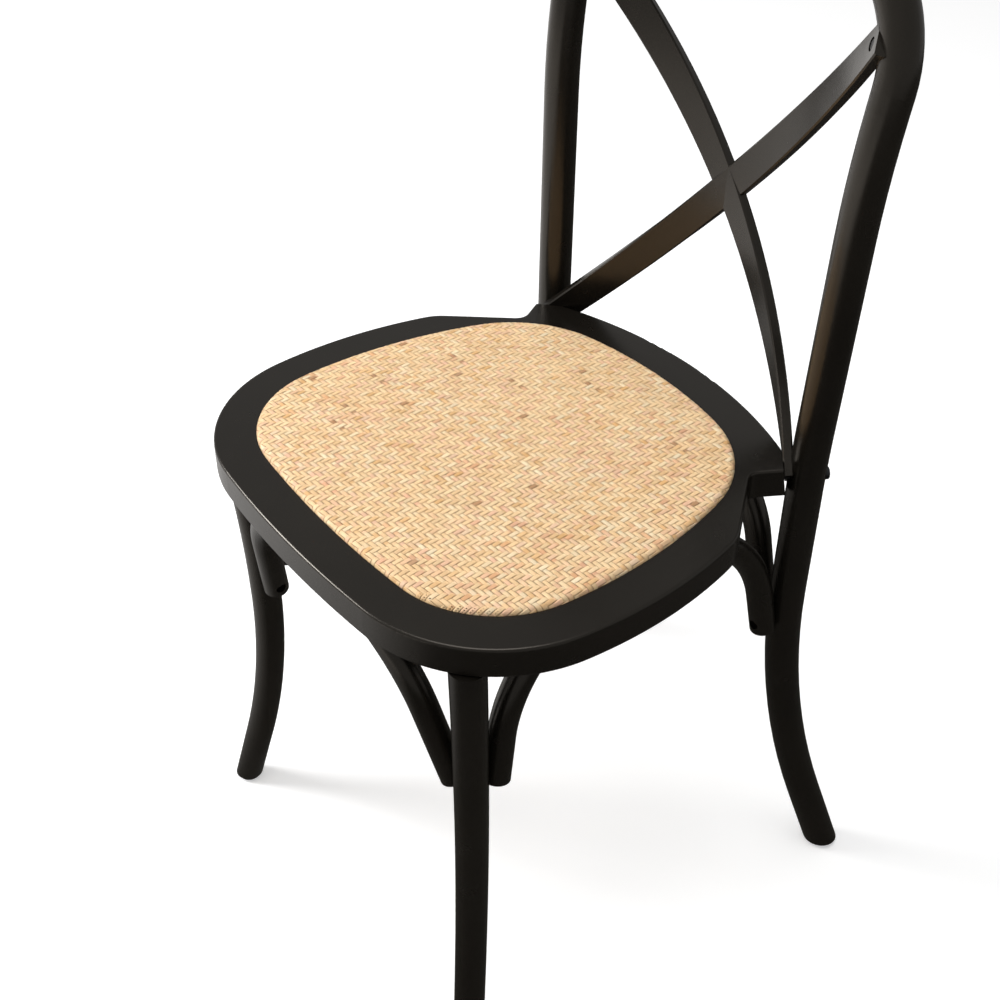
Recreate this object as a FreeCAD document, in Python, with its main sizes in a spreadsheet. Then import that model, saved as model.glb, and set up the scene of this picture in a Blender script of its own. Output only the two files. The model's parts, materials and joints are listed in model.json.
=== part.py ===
"""Cross back dining chair: bentwood frame, crossed back slats and an inset woven rattan seat pad.

The frame of reference: X to the right as the sitter's front is faced, Y towards the back,
Z up, origin on the floor under the middle of the chair. All lengths are in millimetres.
"""
import FreeCAD, Part
import math
import os

# Driving dimensions. Lengths are in millimetres and angles in degrees.
SIZES = {
    # the whole chair
    "seat_height": 460.0,
    "back_height": 885.0,
    # the seat frame, seen from above
    "seat_width": 441.0,
    "seat_widest_y": -42.0,
    "seat_front_y": -206.0,
    "seat_rear_y": 208.5,
    "seat_front_radius": 1040.0,
    "seat_side_radius": 400.0,
    "seat_rear_radius": 384.0,
    "seat_front_corner": 130.0,
    "seat_rear_corner": 45.0,
    "seat_thickness": 27.0,
    "seat_edge_ease": 2.5,
    "shoulder_angle": 50.0,
    "shoulder_reach": 203.0,
    "ear_root_round": 12.0,
    "ear_corner_round": 3.0,
    "ear_side_offset": 10.0,
    "ear_trim": 3.0,
    # the recess for the pad
    "recess_width": 370.0,
    "recess_widest_y": -45.0,
    "recess_front_y": -171.0,
    "recess_rear_y": 171.7,
    "recess_front_radius": 960.0,
    "recess_side_radius": 430.0,
    "recess_rear_radius": 397.0,
    "recess_front_corner": 95.0,
    "recess_rear_corner": 110.0,
    "recess_depth": 12.0,
    "ledge_width": 46.0,
    # the pad
    "board_thickness": 9.0,
    "board_gap": 1.0,
    "pad_gap": 0.5,
    "pad_edge_rise": 0.8,
    "pad_crown": 3.6,
    "pad_roll": 5.0,
    # joints between the rails of the seat frame
    "front_joint_y": -100.0,
    "rear_joint_y": 50.0,
    "dowel_diameter": 8.0,
    "dowel_length": 30.0,
    "dowel_inset": 13.0,
    "dowel_spacing": 14.0,
    # the round bentwood members
    "post_diameter": 30.5,
    "leg_diameter": 29.0,
    "leg_foot_diameter": 26.0,
    "arch_diameter": 23.0,
    # the rear legs, posts and bow, one bent rod
    "post_x": 166.8,
    "post_y": 186.9,
    "post_lean_out": 0.022,
    "post_lean_back": 0.024,
    "post_bend_radius": 1500.0,
    "rear_waist_drop": 139.0,
    "rear_flare_radius": 712.0,
    "rear_flare_angle": 20.5,
    "flare_heading": 45.0,
    "bend_back_rise": 200.0,
    "bend_back_radius": 700.0,
    "bend_back_angle": 8.0,
    "bow_corner_radius": 95.0,
    "bow_top_radius": 900.0,
    # the front legs
    "front_leg_x": 163.5,
    "front_leg_y": -150.5,
    "front_waist_drop": 205.0,
    "front_bow_radius": 1342.0,
    "front_flare_radius": 690.0,
    "front_flare_angle": 15.5,
    "tenon_diameter": 18.0,
    "tenon_length": 15.0,
    "tenon_inset": 3.0,
    "glue_gap": 0.1,
    "joint_end_gap": 1.0,
    # the arches under the seat
    "arch_drop": 140.0,
    "arch_let_in": 3.0,
    "arch_flat": 1.5,
    "front_arch_radius": 92.0,
    "front_arch_turn": 76.0,
    "front_arch_tilt": 10.8,
    "side_arch_radius": 115.0,
    "side_arch_turn": 80.0,
    "side_arch_tilt": 4.6,
    "side_arch_raise": 6.0,
    "rear_arch_radius": 92.0,
    "rear_arch_turn": 76.0,
    "rear_arch_tilt": 0.0,
    # the crossed back slats
    "slat_width": 26.5,
    "slat_thickness": 8.5,
    "slat_let_in": 6.0,
    "slat_heading": 30.0,
    "slat_inset": 9.3,
    "slat_low_rise": -8.0,
    "slat_high_rise": 338.0,
    "slat_bow": 45.0,
    "slat_twist": 38.0,
    "slat_tail": 12.0,
    "slat_ease": 1.2,
    "slat_screw_sink": 0.6,
    # fasteners
    "screw_shank": 4.5,
    "screw_head": 9.0,
    "screw_head_height": 3.2,
    "screw_length": 25.0,
    "screw_bore": 10.0,
    "screw_bore_depth": 8.0,
    "arch_screw_end": 11.0,
    "arch_screw_spacing": 40.0,
    "bolt_drop": 13.0,
    "bolt_diameter": 6.0,
    "bolt_head": 11.0,
    "bolt_head_height": 4.0,
    "bolt_spot_depth": 1.2,
    "bolt_grip_in_ear": 24.0,
    "nut_diameter": 10.0,
    "nut_length": 16.0,
    "board_screw_length": 19.0,
    "board_screw_head": 7.5,
    "glide_diameter": 22.0,
    "glide_thickness": 5.0,
    "glide_pin_diameter": 3.0,
    "glide_pin_length": 14.0,
}

Vector = FreeCAD.Vector
Placement = FreeCAD.Placement
Rotation = FreeCAD.Rotation
X_AXIS = Vector(1, 0, 0)
Y_AXIS = Vector(0, 1, 0)
Z_AXIS = Vector(0, 0, 1)

doc = FreeCAD.newDocument("cross_back_chair")
sheet = doc.addObject("Spreadsheet::Sheet", "sizes")
for row, (alias, value) in enumerate(SIZES.items(), start=1):
    sheet.set(f"A{row}", alias)
    sheet.set(f"B{row}", str(value))
    sheet.setAlias(f"B{row}", alias)
doc.recompute()


def size(alias):
    """A driving dimension, read back from the sheet."""
    return float(sheet.get(alias))


# Plane geometry for the seat's outlines: sides are lines or circles, joined by rounded corners


class Side:
    """A line through a point, or a circle, that keeps the outline's inside on its left."""

    def __init__(self, point, heading=None, radius=None):
        self.point = point
        self.heading = heading
        self.radius = radius

    def moved_in(self, distance):
        """The same side, moved towards the inside of the outline."""
        if self.radius is not None:
            return Side(self.point, radius=self.radius - distance)
        left = Vector(-self.heading.y, self.heading.x, 0)
        return Side(self.point + left * distance, heading=self.heading)

    def foot(self, place):
        """The point of this side nearest to a place."""
        away = place - self.point
        if self.radius is not None:
            return self.point + away.normalize() * self.radius
        return self.point + self.heading * away.dot(self.heading)

    def edge(self, start, end):
        """The stretch of this side between two of its points."""
        if self.radius is not None:
            middle = self.foot((start + end) * 0.5)
            return Part.Arc(start, middle, end).toShape()
        return Part.LineSegment(start, end).toShape()


def line_meets_circle(line, circle, near):
    """The crossing of a line and a circle that lies nearest to a place."""
    closest = line.foot(circle.point)
    half = math.sqrt(circle.radius ** 2 - (closest - circle.point).Length ** 2)
    ends = [closest + line.heading * half, closest - line.heading * half]
    return min(ends, key=lambda end: (end - near).Length)


def circle_meets_circle(one, two, near):
    """The crossing of two circles that lies nearest to a place."""
    between = two.point - one.point
    gap = between.Length
    along = (one.radius ** 2 - two.radius ** 2 + gap ** 2) / (2 * gap)
    across = math.sqrt(one.radius ** 2 - along ** 2)
    unit = between * (1 / gap)
    square = Vector(-unit.y, unit.x, 0)
    ends = [one.point + unit * along + square * across, one.point + unit * along - square * across]
    return min(ends, key=lambda end: (end - near).Length)


def line_meets_line(one, two):
    """The crossing of two lines."""
    between = two.point - one.point
    turn = one.heading.cross(two.heading).z
    return one.point + one.heading * (between.cross(two.heading).z / turn)


def meeting(one, two, near):
    """The point where two sides meet."""
    if one.radius is not None and two.radius is not None:
        return circle_meets_circle(one, two, near)
    if one.radius is not None:
        return line_meets_circle(two, one, near)
    if two.radius is not None:
        return line_meets_circle(one, two, near)
    return line_meets_line(one, two)


def right_half(sides, corners, start, end):
    """Edges from start to end along the sides, with each corner rounded.

    A corner is its rough place and its radius: above zero for an outside corner,
    below zero for an inside corner, zero for a sharp one.
    """
    edges = []
    here = start
    for number, (near, radius) in enumerate(corners):
        before = sides[number]
        after = sides[number + 1]
        centre = meeting(before.moved_in(radius), after.moved_in(radius), near)
        leave = before.foot(centre)
        arrive = after.foot(centre)
        edges.append(before.edge(here, leave))
        if radius != 0:
            outward = ((leave + arrive) * 0.5 - centre).normalize()
            edges.append(Part.Arc(leave, centre + outward * abs(radius), arrive).toShape())
        here = arrive
    edges.append(sides[-1].edge(here, end))
    return edges


def mirrored_wire(edges):
    """A closed wire from a right half and its mirror image."""
    left = [edge.mirror(Vector(0, 0, 0), X_AXIS) for edge in edges]
    return Part.Wire(Part.__sortEdges__(edges + left))


POST_FOOT = Vector(size("post_x"), size("post_y"), 0)
EAR_HEADING = Vector(math.sin(math.radians(size("slat_heading"))), math.cos(math.radians(size("slat_heading"))), 0)
EAR_ACROSS = Vector(-EAR_HEADING.y, EAR_HEADING.x, 0)
SLAT_DEPTH = size("post_diameter") / 2 + size("slat_thickness") / 2 - size("slat_let_in")
EAR_END = POST_FOOT - EAR_HEADING * (SLAT_DEPTH + size("slat_thickness") / 2 - size("ear_trim"))


def seat_outline():
    """The seat frame from above: bulging sides, cut-back rear corners and an ear at each post."""
    front = Vector(0, size("seat_front_y"), 0)
    rear = Vector(0, size("seat_rear_y"), 0)
    widest = size("seat_width") / 2
    shoulder_turn = math.radians(180 - size("shoulder_angle"))
    shoulder_heading = Vector(math.cos(shoulder_turn), math.sin(shoulder_turn), 0)
    shoulder_out = Vector(shoulder_heading.y, -shoulder_heading.x, 0)
    sides = [
        Side(front + Y_AXIS * size("seat_front_radius"), radius=size("seat_front_radius")),
        Side(Vector(widest - size("seat_side_radius"), size("seat_widest_y"), 0), radius=size("seat_side_radius")),
        Side(shoulder_out * size("shoulder_reach"), heading=shoulder_heading),
        Side(EAR_END - EAR_ACROSS * size("ear_side_offset"), heading=EAR_HEADING),
        Side(EAR_END, heading=EAR_ACROSS),
        Side(rear - Y_AXIS * size("seat_rear_radius"), radius=size("seat_rear_radius")),
    ]
    corners = [
        (Vector(widest, front.y, 0), size("seat_front_corner")),
        (Vector(widest, rear.y * 0.3, 0), size("seat_rear_corner")),
        (Vector(widest * 0.7, rear.y * 0.7, 0), -size("ear_root_round")),
        (EAR_END, size("ear_corner_round")),
        (Vector(EAR_END.x * 0.8, rear.y, 0), 0),
    ]
    return mirrored_wire(right_half(sides, corners, front, rear))


def recess_outline(inset):
    """The outline of the pad's recess, or the same outline drawn in by an inset."""
    front = Vector(0, size("recess_front_y") + inset, 0)
    rear = Vector(0, size("recess_rear_y") - inset, 0)
    widest = size("recess_width") / 2
    front_centre = Vector(0, size("recess_front_y") + size("recess_front_radius"), 0)
    side_centre = Vector(widest - size("recess_side_radius"), size("recess_widest_y"), 0)
    rear_centre = Vector(0, size("recess_rear_y") - size("recess_rear_radius"), 0)
    sides = [
        Side(front_centre, radius=size("recess_front_radius") - inset),
        Side(side_centre, radius=size("recess_side_radius") - inset),
        Side(rear_centre, radius=size("recess_rear_radius") - inset),
    ]
    corners = [
        (Vector(widest, front.y, 0), size("recess_front_corner") - inset),
        (Vector(widest, rear.y, 0), size("recess_rear_corner") - inset),
    ]
    return mirrored_wire(right_half(sides, corners, front, rear))


# Helpers that make document objects


def box(label, low, high):
    """A plain block between two corners, used to cut or to keep a region."""
    block = doc.addObject("Part::Box", label)
    block.Length = high.x - low.x
    block.Width = high.y - low.y
    block.Height = high.z - low.z
    block.Placement = Placement(low, Rotation())
    return block


def cylinder(label, radius_rule, length, place, heading):
    """A cylinder whose radius follows the sheet, from a place along a heading."""
    pin = doc.addObject("Part::Cylinder", label)
    pin.setExpression("Radius", radius_rule)
    pin.Height = length
    pin.Placement = Placement(place, Rotation(Z_AXIS, heading))
    return pin


def feature(label, shape):
    """A sub-part or tool whose shape is worked out in code."""
    thing = doc.addObject("Part::Feature", label)
    thing.Shape = shape
    return thing


def cut(label, base, tools):
    """The base with every tool taken out of it, one after the other."""
    result = base
    for number, tool in enumerate(tools, start=1):
        last = number == len(tools)
        step = doc.addObject("Part::Cut", label if last else f"{label}_step_{number}")
        step.Base = result
        step.Tool = tool
        result = step
    return result


def origin_plane(body, role):
    """One of a body's own origin planes."""
    return next(item for item in body.Origin.OriginFeatures if item.Role == role)


def sketch_on(body, label, role, edges, height=0.0):
    """A sketch of the given edges on one of the body's own planes."""
    sketch = body.newObject("Sketcher::SketchObject", label)
    sketch.AttachmentSupport = [(origin_plane(body, role), "")]
    sketch.MapMode = "FlatFace"
    sketch.AttachmentOffset = Placement(Vector(0, 0, height), Rotation())
    for edge in edges:
        curve = edge.Curve
        if curve.TypeId == "Part::GeomCircle":
            sketch.addGeometry(Part.ArcOfCircle(curve, *edge.ParameterRange))
        else:
            ends = [vertex.Point for vertex in edge.Vertexes]
            sketch.addGeometry(Part.LineSegment(*ends))
    return sketch


def padded_outline(label, wire, length_rule, height):
    """A body padded up from a closed outline at a height."""
    body = doc.addObject("PartDesign::Body", label)
    sketch = sketch_on(body, label + "_outline", "XY_Plane", wire.Edges)
    pad = body.newObject("PartDesign::Pad", label + "_pad")
    pad.Profile = sketch
    pad.setExpression("Length", length_rule)
    body.Placement = Placement(Vector(0, 0, height), Rotation())
    return body


def turned(label, points):
    """A body of revolution about Z from half-section points given as (radius, height)."""
    body = doc.addObject("PartDesign::Body", label)
    corners = [Vector(radius, height, 0) for radius, height in points]
    edges = [Part.LineSegment(a, b).toShape() for a, b in zip(corners, corners[1:] + corners[:1])]
    sketch = sketch_on(body, label + "_section", "XZ_Plane", edges)
    turn = body.newObject("PartDesign::Revolution", label + "_turn")
    turn.Profile = sketch
    turn.ReferenceAxis = (sketch, ["V_Axis"])
    turn.Angle = 360.0
    return body


def rod(label, edges, start_rule, end_rule):
    """A round rod swept along edges, its radius running from one rule to the other."""
    path = feature(label + "_path", Part.Wire(edges))
    ends = [edges[0].Vertexes[0].Point, edges[-1].Vertexes[-1].Point]
    headings = [edges[0].tangentAt(edges[0].FirstParameter), edges[-1].tangentAt(edges[-1].LastParameter)]
    rings = []
    for number, rule in enumerate([start_rule, end_rule]):
        ring = doc.addObject("Part::Circle", f"{label}_ring_{number}")
        ring.setExpression("Radius", rule)
        ring.Placement = Placement(ends[number], Rotation(Z_AXIS, headings[number]))
        rings.append(ring)
    sweep = doc.addObject("Part::Sweep", label)
    sweep.Sections = rings
    sweep.Spine = (path, [f"Edge{number + 1}" for number in range(len(edges))])
    sweep.Solid = True
    sweep.Frenet = False
    return sweep


def placed_copies(label, body, placements):
    """Separate copies of one piece, kept together under one name."""
    solids = []
    for placement in placements:
        solid = body.Shape.copy()
        solid.Placement = placement.multiply(solid.Placement)
        solids.append(solid)
    return feature(label, Part.makeCompound(solids))


def line(start, end):
    """A straight stretch of a path."""
    return Part.LineSegment(start, end).toShape()


def bend(start, tangent, inward, radius, degrees):
    """An arc that leaves start along tangent and turns towards inward; its edge, end and new tangent."""
    def at(angle):
        return start + tangent * (radius * math.sin(angle)) + inward * (radius * (1 - math.cos(angle)))
    turn = math.radians(degrees)
    edge = Part.Arc(start, at(turn / 2), at(turn)).toShape()
    return edge, at(turn), tangent * math.cos(turn) + inward * math.sin(turn)


def square_to(heading, tangent):
    """The part of a heading that stands square to a tangent, as a unit vector."""
    return (heading - tangent * heading.dot(tangent)).normalize()


def mirrored(vector):
    """A vector on the other side of the chair."""
    return Vector(-vector.x, vector.y, vector.z)


SEAT_TOP = size("seat_height")
SEAT_UNDER = SEAT_TOP - size("seat_thickness")
LEDGE_TOP = SEAT_TOP - size("recess_depth")
POST_RADIUS = size("post_diameter") / 2
LEG_RADIUS = size("leg_diameter") / 2
ARCH_RADIUS = size("arch_diameter") / 2
SIDES = {"left": -1, "right": 1}
OVERRUN = 30.0


# The rear legs, posts and bow: one rod bent in a hoop


def post_point(rise):
    """The middle of the right post at a rise above the seat's top face."""
    return Vector(
        size("post_x") + size("post_lean_out") * rise,
        size("post_y") + size("post_lean_back") * rise,
        SEAT_TOP + rise,
    )


POST_UP = Vector(size("post_lean_out"), size("post_lean_back"), 1).normalize()
FLARE_OUT = Vector(math.cos(math.radians(size("flare_heading"))), math.sin(math.radians(size("flare_heading"))), 0)


def flared_foot(waist, down, outward, radius, degrees):
    """The curve from a waist out to the foot, with a straight end that runs past the floor."""
    arc, arc_end, heading = bend(waist, down, square_to(outward, down), radius, degrees)
    end = arc_end + heading * ((arc_end.z + OVERRUN) / -heading.z)
    return [arc, line(arc_end, end)]


class Bow:
    """The bow over the posts: two corners and a gently arched top, in one plane that leans back."""

    def __init__(self):
        start = post_point(size("bend_back_rise"))
        lean = square_to(Y_AXIS, POST_UP)
        self.back_arc, self.foot, self.heading = bend(
            start, POST_UP, lean, size("bend_back_radius"), size("bend_back_angle"))
        self.up = Vector(0, self.heading.y, self.heading.z).normalize()
        self.out = math.asin(self.heading.x)
        corner = size("bow_corner_radius")
        top = size("bow_top_radius")
        self.crest = (size("back_height") - POST_RADIUS - self.foot.z) / self.up.z
        reach = self.foot.x * math.cos(self.out) - corner + (self.crest - top) * math.sin(self.out)
        self.spread = self.out + math.asin(reach / (top - corner))
        self.centre_x = (top - corner) * math.sin(self.spread)
        self.centre_w = self.crest - top + (top - corner) * math.cos(self.spread)

    def place(self, across, along):
        """A point of the bow's plane, from its distance across and up the chair."""
        return Vector(across, self.foot.y, self.foot.z) + self.up * along

    def on_corner(self, angle):
        """A point of the right corner's arc, by its angle above level."""
        corner = size("bow_corner_radius")
        return self.place(self.centre_x + corner * math.cos(angle), self.centre_w + corner * math.sin(angle))

    def edges(self):
        """The right half of the bow, from the post's back bend to the crest."""
        low = -self.out
        high = math.pi / 2 - self.spread
        top = size("bow_top_radius")
        middle = self.place(top * math.sin(self.spread / 2), self.crest - top * (1 - math.cos(self.spread / 2)))
        return [
            self.back_arc,
            line(self.foot, self.on_corner(low)),
            Part.Arc(self.on_corner(low), self.on_corner((low + high) / 2), self.on_corner(high)).toShape(),
            Part.Arc(self.on_corner(high), middle, self.place(0, self.crest)).toShape(),
        ]

    def at_rise(self, rise):
        """The rod's middle at a rise above the seat, on the post or on the right corner."""
        along = (SEAT_TOP + rise - self.foot.z) / self.up.z
        start = self.centre_w - size("bow_corner_radius") * math.sin(self.out)
        if along <= start:
            return self.foot + self.heading * ((SEAT_TOP + rise - self.foot.z) / self.heading.z)
        return self.on_corner(math.asin((along - self.centre_w) / size("bow_corner_radius")))


BOW = Bow()
REAR_WAIST = Vector(size("post_x"), size("post_y"), SEAT_TOP - size("rear_waist_drop"))


def reversed_path(edges):
    """The same path walked from its other end."""
    turned_round = []
    for edge in reversed(edges):
        start, end = edge.Vertexes[0].Point, edge.Vertexes[-1].Point
        if edge.Curve.TypeId == "Part::GeomCircle":
            middle = edge.valueAt((edge.FirstParameter + edge.LastParameter) / 2)
            turned_round.append(Part.Arc(end, middle, start).toShape())
        else:
            turned_round.append(line(end, start))
    return turned_round


def hoop_half():
    """The right half of the hoop, from below the foot to the crest."""
    foot = flared_foot(REAR_WAIST, -Z_AXIS, FLARE_OUT, size("rear_flare_radius"), size("rear_flare_angle"))
    lean = math.degrees(Z_AXIS.getAngle(POST_UP))
    radius = size("post_bend_radius")
    bend_start = post_point(0) - Z_AXIS * (radius * math.tan(math.radians(lean) / 2))
    lean_arc, bend_end, _ = bend(bend_start, Z_AXIS, square_to(POST_UP, Z_AXIS), radius, lean)
    shank = [line(REAR_WAIST, bend_start), lean_arc, line(bend_end, post_point(size("bend_back_rise")))]
    return reversed_path(foot) + shank + BOW.edges()


def mirrored_path(edges):
    """The same path on the other side of the chair, walked from its other end."""
    other = []
    for edge in reversed(edges):
        start, end = (mirrored(vertex.Point) for vertex in (edge.Vertexes[0], edge.Vertexes[-1]))
        if edge.Curve.TypeId == "Part::GeomCircle":
            middle = mirrored(edge.valueAt((edge.FirstParameter + edge.LastParameter) / 2))
            other.append(Part.Arc(end, middle, start).toShape())
        else:
            other.append(line(end, start))
    return other


hoop_path = hoop_half()
hoop_rod = rod("hoop_rod", hoop_path + mirrored_path(hoop_path), "sizes.post_diameter / 2", "sizes.post_diameter / 2")


# The front legs: tapered rods bent in their diagonal plane


FRONT_OUT = Vector(size("front_leg_x"), size("front_leg_y"), 0).normalize()
FRONT_WAIST = Vector(size("front_leg_x"), size("front_leg_y"), SEAT_TOP - size("front_waist_drop"))


def front_leg_path():
    """The right front leg from below its foot to above the seat's underside."""
    foot = flared_foot(FRONT_WAIST, -Z_AXIS, FRONT_OUT, size("front_flare_radius"), size("front_flare_angle"))
    rise = SEAT_UNDER + OVERRUN - FRONT_WAIST.z
    angle = math.degrees(math.asin(rise / size("front_bow_radius")))
    upper, _, _ = bend(FRONT_WAIST, Z_AXIS, FRONT_OUT, size("front_bow_radius"), angle)
    return reversed_path(foot) + [upper]


def front_leg_top():
    """The middle of the right front leg where it meets the seat's underside."""
    rise = SEAT_UNDER - FRONT_WAIST.z
    radius = size("front_bow_radius")
    return FRONT_WAIST + Z_AXIS * rise + FRONT_OUT * (radius - math.sqrt(radius ** 2 - rise ** 2))


leg_path = front_leg_path()
leg_rod = rod("front_leg_rod", leg_path, "sizes.leg_foot_diameter / 2", "sizes.leg_diameter / 2")


def mirror_copy(label, source):
    """The same piece on the other side of the chair."""
    other = doc.addObject("Part::Mirroring", label)
    other.Source = source
    other.Normal = X_AXIS
    return other


left_leg_rod = mirror_copy("left_leg_rod", leg_rod)
doc.recompute()


# The arches under the seat


class Arch:
    """A flat bar top, two bends and two straight ends, in a plane of its own."""

    def __init__(self, name, end, across, up, raised):
        self.name = name
        self.across = across
        self.up = up
        self.radius = size(name + "_arch_radius")
        self.turn = math.radians(size(name + "_arch_turn"))
        self.half_span = end
        self.height = (size("arch_drop") - raised) / up.z
        self.straight = (self.height - self.radius * (1 - math.cos(self.turn))) / math.sin(self.turn)
        self.half_flat = end - self.radius * math.sin(self.turn) - self.straight * math.cos(self.turn)
        self.crest_z = SEAT_UNDER + size("arch_flat") - ARCH_RADIUS

    def settle(self, middle):
        """Puts the arch where its ends' middle is, at the height that brings its top to the seat."""
        self.base = Vector(middle.x, middle.y, self.crest_z) - self.up * self.height
        self.base += Vector(middle.x - self.base.x, middle.y - self.base.y, 0)
        self.crest = self.base + self.up * self.height
        return self

    def end(self, sign):
        """The middle of one of the arch's ends."""
        return self.base + self.across * (sign * self.half_span)

    def half(self, sign):
        """The path from one end up to the middle of the top."""
        flat_end = self.crest + self.across * (sign * self.half_flat)
        arc, arc_end, heading = bend(flat_end, self.across * sign, -self.up, self.radius, math.degrees(self.turn))
        return [line(self.end(sign), arc_end)] + reversed_path([arc]) + [line(flat_end, self.crest)]

    def path(self):
        """The whole path from end to end, with one straight stretch for the flat top."""
        near, far = self.half(-1), self.half(1)
        flat = line(near[-1].Vertexes[0].Point, far[-1].Vertexes[0].Point)
        return near[:-1] + [flat] + reversed_path(far[:-1])

    def end_screw(self, sign):
        """Where an end screw enters: its seat's middle line point and its heading into the leg."""
        rise = self.up * math.sin(self.turn) - self.across * (sign * math.cos(self.turn))
        heading = self.across * (sign * math.sin(self.turn)) + self.up * math.cos(self.turn)
        return self.end(sign) + rise * size("arch_screw_end"), heading

    def top_screw(self, sign):
        """Where a top screw stands under the flat top."""
        return self.crest + self.across * (sign * size("arch_screw_spacing") / 2), Z_AXIS


LEG_SETBACK = LEG_RADIUS + ARCH_RADIUS - size("arch_let_in")
POST_SETBACK = POST_RADIUS + ARCH_RADIUS - size("arch_let_in")


def leaning(heading, degrees):
    """Straight up, leaned by some degrees towards a heading."""
    angle = math.radians(degrees)
    return Z_AXIS * math.cos(angle) + heading * math.sin(angle)


def side_arch(sign):
    """The arch under one side of the seat."""
    front = size("front_leg_y") + LEG_SETBACK
    rear = size("post_y") - POST_SETBACK
    middle_x = sign * (size("front_leg_x") + size("post_x")) / 2
    up = leaning(X_AXIS * -sign, size("side_arch_tilt"))
    arch = Arch("side", (rear - front) / 2, Y_AXIS, up, size("side_arch_raise"))
    return arch.settle(Vector(middle_x, (front + rear) / 2, 0))


front_up = leaning(-Y_AXIS, size("front_arch_tilt"))
rear_up = leaning(Y_AXIS, size("rear_arch_tilt"))
ARCHES = {
    "front_arch": Arch("front", size("front_leg_x") - LEG_SETBACK, X_AXIS, front_up, 0).settle(
        Vector(0, size("front_leg_y"), 0)),
    "rear_arch": Arch("rear", size("post_x") - POST_SETBACK, X_AXIS, rear_up, 0).settle(
        Vector(0, size("post_y"), 0)),
    "right_arch": side_arch(1),
    "left_arch": side_arch(-1),
}


# The crossed back slats


class Slat:
    """A flat strip from one post's foot to the other post's corner, bowed back and twisted."""

    def __init__(self, sign):
        self.sign = sign
        low = post_point(size("slat_low_rise")) - EAR_HEADING * SLAT_DEPTH + EAR_ACROSS * size("slat_inset")
        high = BOW.at_rise(size("slat_high_rise")) - EAR_HEADING * SLAT_DEPTH + EAR_ACROSS * size("slat_inset")
        self.low = low
        self.high = mirrored(high)

    def place(self, way):
        """A point of the slat's middle line; way runs from -1 at the low end to 1 at the high end."""
        middle = (self.low + self.high) * 0.5
        point = middle + (self.high - self.low) * (way / 2) + Y_AXIS * (size("slat_bow") * (1 - way ** 2))
        return Vector(point.x * self.sign, point.y, point.z)

    def frame(self, way):
        """The slat's own axes at a point: across its width, through its thickness, and along it."""
        step = 0.001
        along = (self.place(way + step) - self.place(way - step)).normalize()
        level = square_to(Y_AXIS, along)
        turn = Rotation(along, size("slat_twist") * way * self.sign)
        through = turn.multVec(level)
        return through.cross(along), through, along

    def section(self, way, half_width, low_depth, high_depth, ease):
        """An eased rectangle across the slat, between two depths through its thickness."""
        across, through, _ = self.frame(way)
        spots = []
        corners = [(-1, low_depth, 1), (1, low_depth, 1), (1, high_depth, -1), (-1, high_depth, -1)]
        for side, depth, inward in corners:
            level = self.place(way) + across * (side * half_width) + through * (depth + inward * ease)
            flat = self.place(way) + across * (side * (half_width - ease)) + through * depth
            pair = [level, flat] if side * inward < 0 else [flat, level]
            spots += pair if ease > 0 else pair[:1]
        return Part.makePolygon(spots + spots[:1])

    def ends(self):
        """The ways at which the slat starts and stops, a tail beyond both fixings."""
        reach = (self.place(1.001) - self.place(0.999)).Length / 0.002
        return -1 - size("slat_tail") / reach, 1 + size("slat_tail") / reach


def slat_body(label, slat, low_depth, high_depth, ways, half_width, ease):
    """A loft through sections of a slat."""
    sections = []
    for number, way in enumerate(ways):
        shape = slat.section(way, half_width, low_depth, high_depth, ease)
        sections.append(feature(f"{label}_section_{number}", shape))
    loft = doc.addObject("Part::Loft", label)
    loft.Sections = sections
    loft.Solid = True
    loft.Ruled = False
    return loft


def spread(start, end, count):
    """Evenly spaced values from start to end."""
    return [start + (end - start) * number / (count - 1) for number in range(count)]


SLATS = {"right": Slat(1), "left": Slat(-1)}
HALF_THICK = size("slat_thickness") / 2
slat_solids = {}
for side, slat in SLATS.items():
    ways = spread(*slat.ends(), 9)
    half_width = size("slat_width") / 2
    slat_solids[side] = slat_body(f"slat_{side}", slat, -HALF_THICK, HALF_THICK, ways, half_width, size("slat_ease"))
doc.recompute()


# The seat frame's blank: outline, eased edges, recess for the pad and the opening below it


seat_blank = padded_outline("seat_blank", seat_outline(), "sizes.seat_thickness", SEAT_UNDER)
doc.recompute()
seat_pad = seat_blank.Tip
rims = []
for number, edge in enumerate(seat_pad.Shape.Edges, start=1):
    if edge.BoundBox.ZLength < 0.001:
        rims.append(f"Edge{number}")
eased = seat_blank.newObject("PartDesign::Fillet", "seat_edge_ease")
eased.Base = (seat_pad, rims)
eased.setExpression("Radius", "sizes.seat_edge_ease")
top_level = size("seat_thickness")
for label, inset, rule in (
    ("recess", 0.0, "sizes.recess_depth"),
    ("opening", size("ledge_width"), "sizes.seat_thickness"),
):
    outline = sketch_on(seat_blank, label + "_outline", "XY_Plane", recess_outline(inset).Edges, top_level)
    pocket = seat_blank.newObject("PartDesign::Pocket", label)
    pocket.Profile = outline
    pocket.setExpression("Length", rule)
seat_blank.Tip = pocket
doc.recompute()


# Fasteners and dowels


def screw_body(label, head, head_height, shank, length):
    """A pan headed screw that points up, with the underside of its head at the origin."""
    radius = head / 2
    return turned(label, [
        (0, -head_height),
        (radius - 0.8, -head_height),
        (radius, 0.8 - head_height),
        (radius, 0),
        (shank / 2, 0),
        (shank / 2, length - shank / 2),
        (0, length),
    ])


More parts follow.
